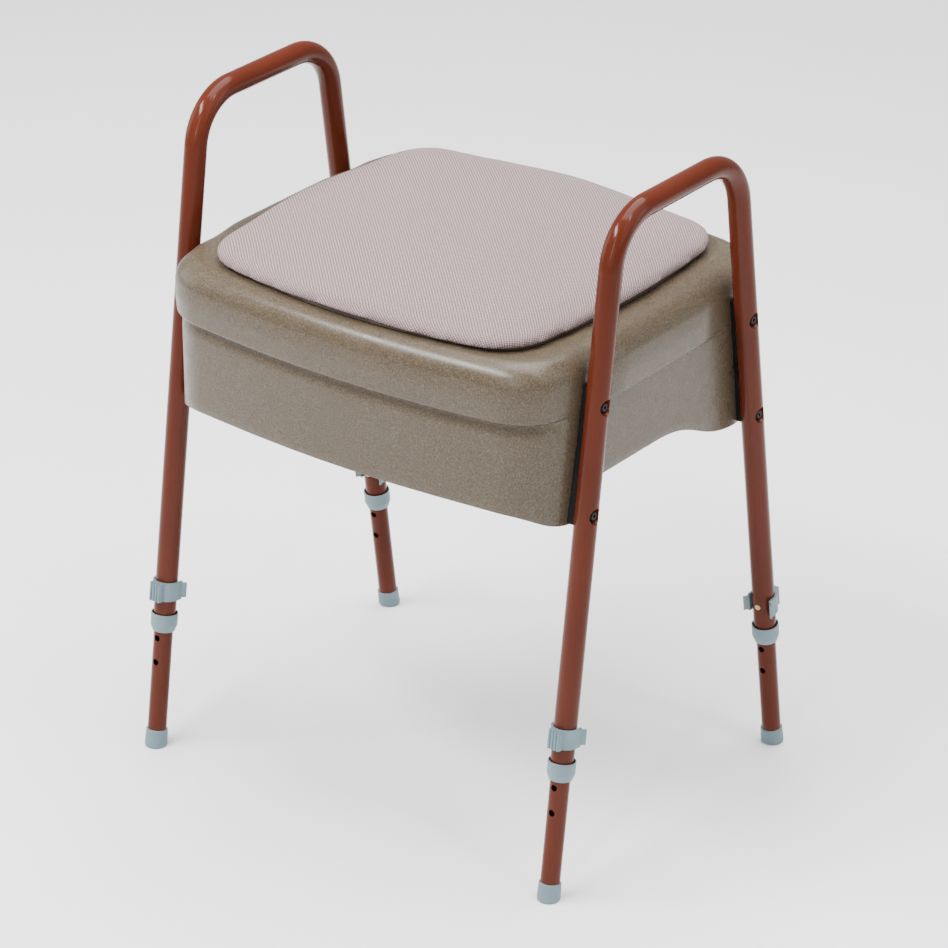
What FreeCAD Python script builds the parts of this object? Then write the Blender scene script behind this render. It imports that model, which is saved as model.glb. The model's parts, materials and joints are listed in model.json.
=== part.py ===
"""Commode chair with a padded lift-off seat, a one-piece seat shell and height-adjustable legs.

Units are millimetres. +Z is up, -Y is the front of the chair and the origin is on the floor, below
the middle of the seat. Left (-X) and right (+X) in the names are as seen from in front of the chair.
"""
import FreeCAD, Part
import math
import os

V = FreeCAD.Vector
X_AXIS, Y_AXIS, Z_AXIS = V(1, 0, 0), V(0, 1, 0), V(0, 0, 1)

# Side frames: each is one bent tube, an upside-down U with splayed legs
TUBE_OD = 22.2
TUBE_WALL = 1.3
FRAME_X = 241.4                # plane of each side frame
FOOT_Y = 187.5                 # tube axis produced to the floor
ARM_CORNER_Y = 94.9            # where the leg axis meets the arm axis
ARM_Z = 656.6                  # axis of the arm
BEND_RADIUS = 53.0
TUBE_END_S = 126.0             # lower end of the outer tube, measured along the leg from the floor
RAKE = math.degrees(math.atan2(FOOT_Y - ARM_CORNER_Y, ARM_Z))

# Telescopic legs
LEG_OD = 19.0
LEG_WALL = 1.5
LEG_START_S = 3.5
LEG_TOP_S = 262.0
HOLE_PITCH = 25.4
HOLES_EACH_WAY = 3
PIN_S = 166.1                  # pin height along the leg
PIN_RADIUS = 3.0
PIN_HOLE_RADIUS = 3.3
PIN_OUTER = 15.0               # end of the pin inside the thumb pad
PIN_TIP = 11.8                 # end of the pin on the far side of the tube

# Grey plastic parts on the legs
COLLAR_BOTTOM_S = 122.7
COLLAR_TOP_S = 141.4
COLLAR_RADIUS = 13.35
COLLAR_LOWER_RADIUS = 11.2
COLLAR_RIM_BORE = 12.5
COLLAR_RIM_DEPTH = 4.0
FERRULE_TOP_S = 17.5
FERRULE_RADIUS = 10.8
FERRULE_FLARE = 0.45
CLIP_HEIGHT = 19.0
CLIP_BORE = 11.45
CLIP_WALL = 2.2
CLIP_ARM = 7.5                 # straight arm beyond the tube's axis
CLIP_EAR = 6.0
THUMB_PAD_WIDTH = 13.6
THUMB_PAD_FACE = 17.2
THUMB_RIDGES = 4
RUNNING_GAP = 0.3

# Frame bolts, two on each leg
BOLT_HEIGHTS = (381.0, 484.5)
BOLT_RADIUS = 2.5
BOLT_HOLE_RADIUS = 2.7
BOLT_HEAD_RADIUS = 5.4
BOLT_HEAD_RIM = 0.6            # height of the head's straight edge below its dome
BOLT_HEAD_FLAT = 3.5           # radius of the flat on top
BOLT_HEAD_HEIGHT = 3.2
SOCKET_RADIUS = 1.75
SOCKET_FLOOR = 1.2
BOLT_SEAT_X = 246.8            # bottom of the dimple in the tube's outer face
DIMPLE_RADIUS = 5.9
DIMPLE_MOUTH_RADIUS = 8.6
BOLT_END_X = 214.0
WASHER_RADIUS = 6.0
WASHER_THICKNESS = 1.5
NUT_ACROSS_FLATS = 8.0
NUT_THICKNESS = 4.0
STRIP_Z = (369.0, 500.0)        # the strips between the tubes and the shell
STRIP_HALF_WIDTH = 5.0
STRIP_START_X = 224.0
STRIP_END_X = 233.0

# Seat shell: a bowed apron under a wider rolled rim
SHELL_HALF_WIDTH = 227.0
SHELL_WALL = 4.0
SHELL_CORNER = 64.0
SHELL_BOW = 1132.0             # radius of the front and rear walls in plan
APRON_FRONT = 197.5
APRON_FRONT_Z = 383.0          # lower edge across the front and rear
APRON_CORNER_Z = 366.0         # and at the lobes beside the tubes
SIDE_ARCH_Z = 399.3            # and along the sides
FRONT_LEVEL_Y = 188.0          # the front and rear edges start to drop here
LOBE_Y = 137.0
SIDE_FRONT_LEVEL_Y = -100.0
SIDE_REAR_LEVEL_Y = -4.0
RIM_FRONT = 204.0
RIM_SIDE_GROW = 0.4            # the rim's step at the sides, beside the tubes
RIM_BOTTOM_Z = 475.0
RIM_TOP_Z = 529.5
RIM_ROLL = 24.0
BULGE_X = 233.6                # rim swelling between the tubes
BULGE_HALF_LENGTH = 96.0
BULGE_FLAT = 66.0

# Seat aperture and the pan under it
APERTURE_HALF = (105.0, 128.0)
APERTURE_CORNER = 92.0
LIP_WALL = 3.0
LIP_BOTTOM_Z = 497.0
PAN_FLANGE_HALF = (145.0, 140.0)
PAN_FLANGE_Z = (483.3, 486.3)
PAN_TOP_HALF = (124.0, 121.0)
PAN_BOTTOM_HALF = (100.0, 97.0)
PAN_BOTTOM_Z = 388.0
PAN_WALL = 2.5
PAN_CORNER = 42.0
LID_THICKNESS = 2.6
LID_GRIP_HEIGHT = 5.4
REAR_OPENING_HALF = 151.0
REAR_OPENING_TOP_Z = 497.0
REAR_OPENING_CORNER = 24.0
RUNNER_LEDGE_X = (129.0, 152.0)
RUNNER_FLANGE_X = 170.0
RUNNER_THICKNESS = 3.0
RUNNER_HALF_LENGTH = 150.0
RUNNER_TOP_Z = 515.0
RUNNER_SCREW_X = 161.0
RUNNER_SCREW_Y = (-120.0, 0.0, 120.0)
SCREW_RADIUS = 1.8
SCREW_LENGTH = 11.0
SCREW_HEAD_RADIUS = 3.6
SCREW_HEAD_HEIGHT = 2.2
BOSS_RADIUS = 5.0
TONGUE_HALF = 62.0             # grip tongue behind the pan's flange
TONGUE_REACH = 24.0
GRIP_SLOT_HALF = 42.0
GRIP_SLOT_REACH = 14.0
LID_OVERLAP = 8.0              # lid's edge beyond the pan's mouth
LID_RING_GAP = 5.0             # locating ring inside the pan's mouth
LID_RING_WALL = 2.0
LID_RING_DEPTH = 5.0
LID_GRIP_HALF = (40.0, 7.0)

# Padded seat
PAD_HALF_WIDTH = 200.7
PAD_FRONT = 191.0
PAD_BOW = 717.0
PAD_SIDE_BOW = 866.0
PAD_CORNER = 59.5
PAD_BOTTOM_Z = 530.0            # underside of the board
PAD_HEM_Z = 533.5               # underside of the cover, clear of the seat
PAD_EDGE_Z = 542.5              # height of the domed top along the pad's edge
PAD_TOP_Z = 557.0
PAD_EDGE_ROUND = 9.0
PAD_HEM_ROUND = 3.0
CROWN_MARGIN = 5.0              # the dome's surface reaches this far past the pad
BOARD_THICKNESS = 6.0
BOARD_INSET = 8.0
COVER_THICKNESS = 1.5
LOCATOR_DROP = 14.0
LOCATOR_GAP = 2.0
LOCATOR_THICKNESS = 8.0

TUBE_R = TUBE_OD / 2
LEG_R = LEG_OD / 2
SIDES = (("left", -1), ("right", 1))
ENDS = (("front", -1), ("rear", 1))
FAR = 400.0                    # a reach beyond every wall, for cutters


def export(shape, name):
    shape.exportStep(os.path.join("parts", name + ".step"))


def group(solids):
    return Part.makeCompound(solids)


def cylinder(radius, start, direction, length):
    return Part.makeCylinder(radius, length, start, direction)


def box(low, high):
    size = high - low
    return Part.makeBox(size.x, size.y, size.z, low)


def revolve_profile(points):
    """A solid turned round the local Z axis from (radius, height) points."""
    corners = [V(radius, 0, height) for radius, height in points]
    face = Part.Face(Part.makePolygon(corners + corners[:1]))
    return face.revolve(V(0, 0, 0), Z_AXIS, 360)


def edges_at_height(shape, height):
    return [edge for edge in shape.Edges
            if all(abs(vertex.Z - height) < 0.01 for vertex in edge.Vertexes)]


def vertical_edges(shape):
    return [edge for edge in shape.Edges
            if edge.BoundBox.ZLength > 0.5 and edge.BoundBox.XLength + edge.BoundBox.YLength < 0.01]


def bowed_block(half_width, front, bow, corner, low_z, high_z, side_bow=None):
    """A block whose four walls bow outwards in plan, with rounded vertical corners."""
    corner_y = front - (bow - math.sqrt(bow ** 2 - half_width ** 2))
    inset = 0.0 if side_bow is None else side_bow - math.sqrt(side_bow ** 2 - corner_y ** 2)
    corner_x = half_width - inset
    corners = [V(corner_x, -corner_y, low_z), V(corner_x, corner_y, low_z),
               V(-corner_x, corner_y, low_z), V(-corner_x, -corner_y, low_z)]
    middles = [V(half_width, 0, low_z), V(0, front, low_z), V(-half_width, 0, low_z), V(0, -front, low_z)]
    edges = []
    for index, middle in enumerate(middles):
        start, end = corners[index], corners[(index + 1) % 4]
        if side_bow is None and index % 2 == 0:
            edges.append(Part.LineSegment(start, end).toShape())
        else:
            edges.append(Part.Arc(start, middle, end).toShape())
    block = Part.Face(Part.Wire(edges)).extrude(V(0, 0, high_z - low_z))
    return block.makeFillet(corner, vertical_edges(block))


def rounded_block(half_x, half_y, corner, low_z, high_z):
    block = box(V(-half_x, -half_y, low_z), V(half_x, half_y, high_z))
    return block.makeFillet(corner, vertical_edges(block))


def rounded_wire(half_x, half_y, corner, z):
    block = rounded_block(half_x, half_y, corner, z, z + 1)
    bottom = [face for face in block.Faces if abs(face.CenterOfMass.z - z) < 0.01]
    return bottom[0].OuterWire


def hexagon(radius, height, direction):
    """A six-sided prism from the origin along +Z or +X."""
    turns = [math.radians(60 * k) for k in range(6)]
    if direction == Z_AXIS:
        corners = [V(radius * math.cos(turn), radius * math.sin(turn), 0) for turn in turns]
    else:
        corners = [V(0, radius * math.cos(turn), radius * math.sin(turn)) for turn in turns]
    return Part.Face(Part.makePolygon(corners + corners[:1])).extrude(direction * height)


def s_curve(start, end):
    """A smooth step between two level points in the YZ plane."""
    middle_y = (start.y + end.y) / 2
    curve = Part.BezierCurve()
    curve.setPoles([start, V(start.x, middle_y, start.z), V(end.x, middle_y, end.z), end])
    return curve.toShape()


def place_on_leg(shape, side, end):
    """Move a shape made along +Z from the foot point onto one of the raked legs."""
    placed = shape.copy()
    placed.rotate(V(0, 0, 0), X_AXIS, end * RAKE)
    placed.translate(V(side * FRAME_X, end * FOOT_Y, 0))
    return placed


def leg_point(end, height):
    """The Y of a leg's axis at a height above the floor."""
    return end * (FOOT_Y - height * math.tan(math.radians(RAKE)))


def frame_bar(radius, side):
    """A solid bar of the side frame's shape: leg, bend, arm, bend, leg."""
    turn = 90 - RAKE
    setback = BEND_RADIUS * math.tan(math.radians(turn / 2))
    leg_length = math.hypot(FOOT_Y - ARM_CORNER_Y, ARM_Z)
    straight = Part.makeCylinder(radius, leg_length - setback - TUBE_END_S, V(0, 0, TUBE_END_S))
    pieces = [place_on_leg(straight, side, end) for _, end in ENDS]
    arm_half = ARM_CORNER_Y - setback
    pieces.append(cylinder(radius, V(side * FRAME_X, -arm_half, ARM_Z), Y_AXIS, 2 * arm_half))
    for _, end in ENDS:
        arm_end = V(side * FRAME_X, end * arm_half, ARM_Z)
        section = Part.Face(Part.Wire(Part.makeCircle(radius, arm_end, Y_AXIS)))
        centre = arm_end - V(0, 0, BEND_RADIUS)
        pieces.append(section.revolve(centre, V(-end, 0, 0), turn))
    return pieces[0].multiFuse(pieces[1:]).removeSplitter()


def dimple(side, end, height, grow):
    """The cone pressed into the tube's outer face round a bolt, or its inside face."""
    start = V(side * (BOLT_SEAT_X - grow), leg_point(end, height), height)
    depth = FRAME_X + TUBE_R + 1 - BOLT_SEAT_X + grow
    return Part.makeCone(DIMPLE_RADIUS + grow / 2, DIMPLE_MOUTH_RADIUS + grow, depth, start, V(side, 0, 0))


def pin_bore(radius):
    """A fore-and-aft bore across a leg at the pin's height."""
    return cylinder(radius, V(0, -TUBE_OD, PIN_S), Y_AXIS, 2 * TUBE_OD)


def side_frame(side):
    outer = frame_bar(TUBE_R, side)
    inner = frame_bar(TUBE_R - TUBE_WALL, side)
    for _, end in ENDS:
        for height in BOLT_HEIGHTS:
            outer = outer.cut(dimple(side, end, height, 0))
            inner = inner.cut(dimple(side, end, height, TUBE_WALL))
    tube = outer.cut(inner)
    for _, end in ENDS:
        tube = tube.cut(place_on_leg(pin_bore(PIN_HOLE_RADIUS), side, end))
        for height in BOLT_HEIGHTS:
            start = V(side * (FRAME_X - TUBE_OD), leg_point(end, height), height)
            tube = tube.cut(cylinder(BOLT_HOLE_RADIUS, start, V(side, 0, 0), 2 * TUBE_OD))
    return tube


def inner_leg():
    leg = Part.makeCylinder(LEG_R, LEG_TOP_S - LEG_START_S, V(0, 0, LEG_START_S))
    leg = leg.cut(Part.makeCylinder(LEG_R - LEG_WALL, LEG_TOP_S, V(0, 0, 0)))
    for step in range(-HOLES_EACH_WAY, HOLES_EACH_WAY + 1):
        bore = pin_bore(PIN_HOLE_RADIUS)
        bore.translate(V(0, 0, step * HOLE_PITCH))
        leg = leg.cut(bore)
    return leg


def ferrule():
    """A cup on the leg's end, before its sole is cut level with the floor."""
    foot_radius = FERRULE_RADIUS + FERRULE_FLARE
    return revolve_profile([(0, -4), (foot_radius, -4), (foot_radius, 4),
                            (FERRULE_RADIUS, FERRULE_TOP_S - 1), (FERRULE_RADIUS - 0.7, FERRULE_TOP_S),
                            (LEG_R, FERRULE_TOP_S), (LEG_R, LEG_START_S), (0, LEG_START_S)])


def level_sole(placed_ferrule):
    below_floor = box(V(-FAR, -FAR, -20), V(FAR, FAR, 0))
    cut = placed_ferrule.cut(below_floor)
    return cut.makeFillet(1.6, edges_at_height(cut, 0))


def collar():
    """A cup bush: it holds the outer tube's end and guides the inner leg."""
    return revolve_profile([(LEG_R + RUNNING_GAP, COLLAR_BOTTOM_S), (COLLAR_LOWER_RADIUS, COLLAR_BOTTOM_S),
                            (COLLAR_RADIUS, COLLAR_BOTTOM_S + 6.5), (COLLAR_RADIUS, COLLAR_TOP_S - 0.5),
                            (COLLAR_RADIUS - 0.3, COLLAR_TOP_S), (COLLAR_RIM_BORE, COLLAR_TOP_S),
                            (COLLAR_RIM_BORE, COLLAR_TOP_S - COLLAR_RIM_DEPTH),
                            (TUBE_R, COLLAR_TOP_S - COLLAR_RIM_DEPTH), (TUBE_R, TUBE_END_S),
                            (LEG_R + RUNNING_GAP, TUBE_END_S)])


def clip_band(low, height):
    """The C-shaped band, open towards +Y, with straight arms past the tube's axis."""
    outer_radius = CLIP_BORE + CLIP_WALL
    band = Part.makeCylinder(outer_radius, height, V(0, 0, low))
    band = band.fuse(box(V(-outer_radius, 0, low), V(outer_radius, CLIP_ARM, low + height)))
    hollow = Part.makeCylinder(CLIP_BORE, height, V(0, 0, low))
    hollow = hollow.fuse(box(V(-CLIP_BORE, 0, low), V(CLIP_BORE, FAR, low + height)))
    return band.cut(hollow)


def clip_ear(side, low, height):
    """A flared end of one arm, turned outwards by 40 degrees."""
    ear = box(V(0, -1, low), V(CLIP_WALL, CLIP_EAR, low + height))
    ear.rotate(V(0, 0, 0), Z_AXIS, -40)
    ear.translate(V(CLIP_BORE, CLIP_ARM, 0))
    ear = ear.cut(box(V(0, 0, low), V(CLIP_BORE, FAR, low + height)))
    return ear if side > 0 else ear.mirror(V(0, 0, 0), X_AXIS)


def locking_clip():
    """The clip for a front leg: thumb pad towards -Y."""
    low = PIN_S - CLIP_HEIGHT / 2
    half = THUMB_PAD_WIDTH / 2
    pad = box(V(-half, -THUMB_PAD_FACE, low), V(half, -CLIP_BORE - 0.4, low + CLIP_HEIGHT))
    pad = pad.cut(Part.makeCylinder(CLIP_BORE, CLIP_HEIGHT, V(0, 0, low)))
    ridges = []
    for index in range(THUMB_RIDGES):
        ridge_x = -half + THUMB_PAD_WIDTH * (index + 0.5) / THUMB_RIDGES
        start = V(ridge_x, -THUMB_PAD_FACE, low)
        ridges.append(Part.makeCylinder(THUMB_PAD_WIDTH / THUMB_RIDGES * 0.36, CLIP_HEIGHT, start))
    ears = [clip_ear(side, low + 2, CLIP_HEIGHT - 4) for _, side in SIDES]
    clip = clip_band(low, CLIP_HEIGHT).multiFuse([pad] + ridges + ears)
    return clip.cut(cylinder(PIN_RADIUS, V(0, -PIN_OUTER, PIN_S), Y_AXIS, PIN_OUTER)).removeSplitter()


def locking_pin():
    """The pin for a front leg, with a chamfered tip."""
    length = PIN_OUTER + PIN_TIP
    pin = cylinder(PIN_RADIUS, V(0, -PIN_OUTER, PIN_S), Y_AXIS, length)
    tip = [edge for edge in pin.Edges if all(abs(v.Y - PIN_TIP) < 0.01 for v in edge.Vertexes)]
    return pin.makeChamfer(0.9, tip)


def face_rearwards(shape):
    """Turn a front-leg piece half round the leg's axis for a rear leg."""
    turned = shape.copy()
    turned.rotate(V(0, 0, 0), Z_AXIS, 180)
    return turned


def rim_bulge(side, x, low_z, high_z, roll):
    """The rim's outward swelling between the two tubes of one side."""
    start_x = SHELL_HALF_WIDTH - 40
    points = [V(start_x, -BULGE_HALF_LENGTH, low_z), V(SHELL_HALF_WIDTH, -BULGE_HALF_LENGTH, low_z),
              V(x, -BULGE_FLAT, low_z), V(x, BULGE_FLAT, low_z),
              V(SHELL_HALF_WIDTH, BULGE_HALF_LENGTH, low_z), V(start_x, BULGE_HALF_LENGTH, low_z)]
    block = Part.Face(Part.makePolygon(points + points[:1])).extrude(V(0, 0, high_z - low_z))
    outer = [edge for edge in edges_at_height(block, high_z)
             if edge.BoundBox.XMin > SHELL_HALF_WIDTH - 1 and edge.BoundBox.YLength > 2 * BULGE_FLAT - 1]
    block = block.makeFillet(roll, outer)
    return block if side > 0 else block.mirror(V(0, 0, 0), X_AXIS)


def rolled_rim(grow, low_z, high_z, roll):
    rim = bowed_block(SHELL_HALF_WIDTH + grow, RIM_FRONT + grow, SHELL_BOW, SHELL_CORNER + grow,
                      low_z, high_z)
    return rim.makeFillet(roll, edges_at_height(rim, high_z))


def lower_edge_cutter():
    """Everything below the shell's lower edge, whose outline is seen from the side."""
    reach = RIM_FRONT + 10
    base_z = APRON_CORNER_Z - 30
    outline = [V(-FAR, -reach, APRON_FRONT_Z), V(-FAR, -FRONT_LEVEL_Y, APRON_FRONT_Z),
               V(-FAR, -LOBE_Y, APRON_CORNER_Z), V(-FAR, SIDE_FRONT_LEVEL_Y, SIDE_ARCH_Z),
               V(-FAR, SIDE_REAR_LEVEL_Y, SIDE_ARCH_Z), V(-FAR, LOBE_Y, APRON_CORNER_Z),
               V(-FAR, FRONT_LEVEL_Y, APRON_FRONT_Z), V(-FAR, reach, APRON_FRONT_Z),
               V(-FAR, reach, base_z), V(-FAR, -reach, base_z)]
    edges = []
    for start, end in zip(outline, outline[1:] + outline[:1]):
        curved = start.z > base_z and end.z > base_z and start.z != end.z
        edges.append(s_curve(start, end) if curved else Part.LineSegment(start, end).toShape())
    return Part.Face(Part.Wire(edges)).extrude(V(2 * FAR, 0, 0))


def rear_opening_cutter():
    """The arch in the rear apron that the pan slides out through."""
    block = box(V(-REAR_OPENING_HALF, RUNNER_HALF_LENGTH, APRON_CORNER_Z - 30),
                V(REAR_OPENING_HALF, FAR, REAR_OPENING_TOP_Z))
    top = [edge for edge in edges_at_height(block, REAR_OPENING_TOP_Z) if edge.BoundBox.YLength > 1]
    return block.makeFillet(REAR_OPENING_CORNER, top)


def shell_skin():
    """The outside of the seat shell as a solid block."""
    apron = bowed_block(SHELL_HALF_WIDTH, APRON_FRONT, SHELL_BOW, SHELL_CORNER,
                        APRON_CORNER_Z, RIM_BOTTOM_Z + 5)
    rim = rolled_rim(RIM_SIDE_GROW, RIM_BOTTOM_Z, RIM_TOP_Z, RIM_ROLL)
    bulges = [rim_bulge(side, BULGE_X, RIM_BOTTOM_Z, RIM_TOP_Z, RIM_ROLL) for _, side in SIDES]
    return rim.multiFuse([apron] + bulges)


def shell_hollow():
    """The space inside the shell's walls, open below."""
    apron = bowed_block(SHELL_HALF_WIDTH - SHELL_WALL, APRON_FRONT - SHELL_WALL, SHELL_BOW - SHELL_WALL,
                        SHELL_CORNER - SHELL_WALL, APRON_CORNER_Z - 10, RIM_BOTTOM_Z + 10)
    rim = rolled_rim(RIM_SIDE_GROW - SHELL_WALL, RIM_BOTTOM_Z + SHELL_WALL, RIM_TOP_Z - SHELL_WALL,
                     RIM_ROLL - SHELL_WALL)
    return rim.fuse(apron)


def seat_shell():
    shell = shell_skin().cut(shell_hollow())
    half_x, half_y = APERTURE_HALF
    lip = rounded_block(half_x + LIP_WALL, half_y + LIP_WALL, APERTURE_CORNER + LIP_WALL,
                        LIP_BOTTOM_Z, RIM_TOP_Z - 1)
    boss_height = RIM_TOP_Z - SHELL_WALL / 2 - RUNNER_TOP_Z
    bosses = [cylinder(BOSS_RADIUS, V(side * RUNNER_SCREW_X, y, RUNNER_TOP_Z), Z_AXIS, boss_height)
              for _, side in SIDES for y in RUNNER_SCREW_Y]
    shell = shell.multiFuse([lip] + bosses)
    aperture = rounded_block(half_x, half_y, APERTURE_CORNER, LIP_BOTTOM_Z - 1, RIM_TOP_Z + 1)
    cutters = [aperture, lower_edge_cutter(), rear_opening_cutter()]
    for _, side in SIDES:
        for y in RUNNER_SCREW_Y:
            start = V(side * RUNNER_SCREW_X, y, RUNNER_TOP_Z)
            cutters.append(cylinder(SCREW_RADIUS, start, Z_AXIS, SCREW_LENGTH - RUNNER_THICKNESS + 1))
        for _, end in ENDS:
            for height in BOLT_HEIGHTS:
                start = V(side * BOLT_END_X, leg_point(end, height), height)
                cutters.append(cylinder(BOLT_HOLE_RADIUS, start, V(side, 0, 0), 40))
    for cutter in cutters:
        shell = shell.cut(cutter)
    return shell.removeSplitter()


def bolt(side, end, height):
    """A domed socket-head bolt through the tube and the shell's wall."""
    middle, edge = V(0, 0, 0), V(BOLT_HEAD_RADIUS, 0, 0)
    shoulder = V(BOLT_HEAD_RADIUS, 0, BOLT_HEAD_RIM)
    on_dome = (shoulder + V(BOLT_HEAD_FLAT, 0, BOLT_HEAD_HEIGHT)) / 2 + V(0.4, 0, 0.1)
    top_edge, top = V(BOLT_HEAD_FLAT, 0, BOLT_HEAD_HEIGHT), V(0, 0, BOLT_HEAD_HEIGHT)
    outline = [Part.LineSegment(middle, edge), Part.LineSegment(edge, shoulder),
               Part.Arc(shoulder, on_dome, top_edge), Part.LineSegment(top_edge, top),
               Part.LineSegment(top, middle)]
    head = Part.Face(Part.Wire([line.toShape() for line in outline])).revolve(middle, Z_AXIS, 360)
    socket = hexagon(SOCKET_RADIUS, BOLT_HEAD_HEIGHT, Z_AXIS)
    socket.translate(V(0, 0, SOCKET_FLOOR))
    shank = Part.makeCylinder(BOLT_RADIUS, BOLT_SEAT_X - BOLT_END_X, V(0, 0, BOLT_END_X - BOLT_SEAT_X))
    made = head.cut(socket).fuse(shank)
    made.rotate(V(0, 0, 0), Y_AXIS, 90 * side)
    made.translate(V(side * BOLT_SEAT_X, leg_point(end, height), height))
    return made


def at_bolts(make, side):
    return group([make(side, end, height) for _, end in ENDS for height in BOLT_HEIGHTS])


def wall_inside_x(height, y):
    """The X of the shell's inner face beside a bolt, where the corner's curve has begun."""
    in_rim = height > RIM_BOTTOM_Z
    half_width = SHELL_HALF_WIDTH - SHELL_WALL + (RIM_SIDE_GROW if in_rim else 0)
    front = (RIM_FRONT + RIM_SIDE_GROW if in_rim else APRON_FRONT) - SHELL_WALL
    corner = SHELL_CORNER - SHELL_WALL
    bow = SHELL_BOW - SHELL_WALL
    centre_x = half_width - corner
    centre_y = front - bow + math.sqrt((bow - corner) ** 2 - centre_x ** 2)
    beyond = max(0.0, abs(y) - centre_y)
    return centre_x + math.sqrt(corner ** 2 - beyond ** 2)


def bolt_hole(side, end, height):
    """A clearance hole from inside the shell to beyond the tube."""
    start = V(side * (BOLT_END_X - SHELL_WALL), leg_point(end, height), height)
    return cylinder(BOLT_HOLE_RADIUS, start, V(side, 0, 0), FRAME_X + TUBE_OD - BOLT_END_X)


def saddle_strip(side, end):
    """A strip along the tube, between it and the shell and shaped to both."""
    low_z, high_z = STRIP_Z
    corners = [V(side * STRIP_START_X, leg_point(end, height) + offset, height)
               for height, offset in ((low_z, -STRIP_HALF_WIDTH), (low_z, STRIP_HALF_WIDTH),
                                      (high_z, STRIP_HALF_WIDTH), (high_z, -STRIP_HALF_WIDTH))]
    face = Part.Face(Part.makePolygon(corners + corners[:1]))
    strip = face.extrude(V(side * (STRIP_END_X - STRIP_START_X), 0, 0))
    bar = place_on_leg(Part.makeCylinder(TUBE_R, 400, V(0, 0, TUBE_END_S + 100)), side, end)
    strip = strip.cut(SHELL_SKIN).cut(bar)
    for height in BOLT_HEIGHTS:
        strip = strip.cut(bolt_hole(side, end, height))
    return strip.Solids[0]


def washer(side, end, height):
    """A washer whose outer face follows the curve of the shell's corner."""
    y = leg_point(end, height)
    inner_x = wall_inside_x(height, abs(y) + WASHER_RADIUS)
    start = V(side * (inner_x - WASHER_THICKNESS), y, height)
    ring = cylinder(WASHER_RADIUS, start, V(side, 0, 0), FRAME_X - inner_x).common(SHELL_HOLLOW)
    return ring.cut(bolt_hole(side, end, height)).Solids[0]


def nut(side, end, height):
    y = leg_point(end, height)
    outer_x = wall_inside_x(height, abs(y) + WASHER_RADIUS) - WASHER_THICKNESS
    made = hexagon(NUT_ACROSS_FLATS / math.sqrt(3), NUT_THICKNESS, X_AXIS)
    made.translate(V(-NUT_THICKNESS, 0, 0))
    made = made.cut(cylinder(BOLT_RADIUS, V(-FAR, 0, 0), X_AXIS, 2 * FAR))
    if side < 0:
        made = made.mirror(V(0, 0, 0), X_AXIS)
    made.translate(V(side * outer_x, y, height))
    return made


def pan_runner(side):
    """A plastic channel under the deck that the pan's flange slides on."""
    inner_x, web_x = RUNNER_LEDGE_X
    ledge_top = PAN_FLANGE_Z[0] - RUNNING_GAP
    low_y, high_y = -RUNNER_HALF_LENGTH, RUNNER_HALF_LENGTH
    ledge = box(V(inner_x, low_y, ledge_top - RUNNER_THICKNESS), V(web_x, high_y, ledge_top))
    web = box(V(web_x - RUNNER_THICKNESS, low_y, ledge_top - RUNNER_THICKNESS),
              V(web_x, high_y, RUNNER_TOP_Z))
    flange = box(V(web_x - RUNNER_THICKNESS, low_y, RUNNER_TOP_Z - RUNNER_THICKNESS),
                 V(RUNNER_FLANGE_X, high_y, RUNNER_TOP_Z))
    stop = box(V(inner_x, low_y, ledge_top), V(web_x, low_y + RUNNER_THICKNESS, ledge_top + 9))
    runner = ledge.multiFuse([web, flange, stop]).removeSplitter()
    for y in RUNNER_SCREW_Y:
        runner = runner.cut(Part.makeCylinder(SCREW_RADIUS, 20, V(RUNNER_SCREW_X, y, RUNNER_TOP_Z - 10)))
    return runner if side > 0 else runner.mirror(V(0, 0, 0), X_AXIS)


def runner_screws():
    """Six pan-head screws up through the runners into the shell's bosses."""
    head_top = RUNNER_TOP_Z - RUNNER_THICKNESS
    screws = []
    for _, side in SIDES:
        for y in RUNNER_SCREW_Y:
            seat = V(side * RUNNER_SCREW_X, y, head_top)
            shank = cylinder(SCREW_RADIUS, seat, Z_AXIS, SCREW_LENGTH)
            head = cylinder(SCREW_HEAD_RADIUS, seat, -Z_AXIS, SCREW_HEAD_HEIGHT)
            head = head.makeFillet(0.9, edges_at_height(head, head_top - SCREW_HEAD_HEIGHT))
            screws.append(head.fuse(shank))
    return group(screws)


def pan_bowl(shrink, low_z, high_z):
    top = rounded_wire(PAN_TOP_HALF[0] - shrink, PAN_TOP_HALF[1] - shrink, PAN_CORNER, high_z)
    bottom = rounded_wire(PAN_BOTTOM_HALF[0] - shrink, PAN_BOTTOM_HALF[1] - shrink, PAN_CORNER, low_z)
    return Part.makeLoft([bottom, top], True, True)


def commode_pan():
    """The pan: a tapered bowl with a flat flange and a grip tongue at the rear."""
    low_z, high_z = PAN_FLANGE_Z
    half_x, rear_y = PAN_FLANGE_HALF
    flange = rounded_block(half_x, rear_y, 22, low_z, high_z)
    tongue = box(V(-TONGUE_HALF, rear_y - 4, low_z), V(TONGUE_HALF, rear_y + TONGUE_REACH, high_z))
    rear_edges = [edge for edge in vertical_edges(tongue) if edge.Vertexes[0].Y > rear_y]
    tongue = tongue.makeFillet(12, rear_edges)
    slot = box(V(-GRIP_SLOT_HALF, rear_y - 1, low_z - 1),
               V(GRIP_SLOT_HALF, rear_y + GRIP_SLOT_REACH, high_z + 1))
    slot = slot.makeFillet(7, vertical_edges(slot))
    bowl = pan_bowl(0, PAN_BOTTOM_Z, high_z)
    solid = flange.multiFuse([bowl, tongue.cut(slot)])
    return solid.cut(pan_bowl(PAN_WALL, PAN_BOTTOM_Z + PAN_WALL, high_z)).removeSplitter()


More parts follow.
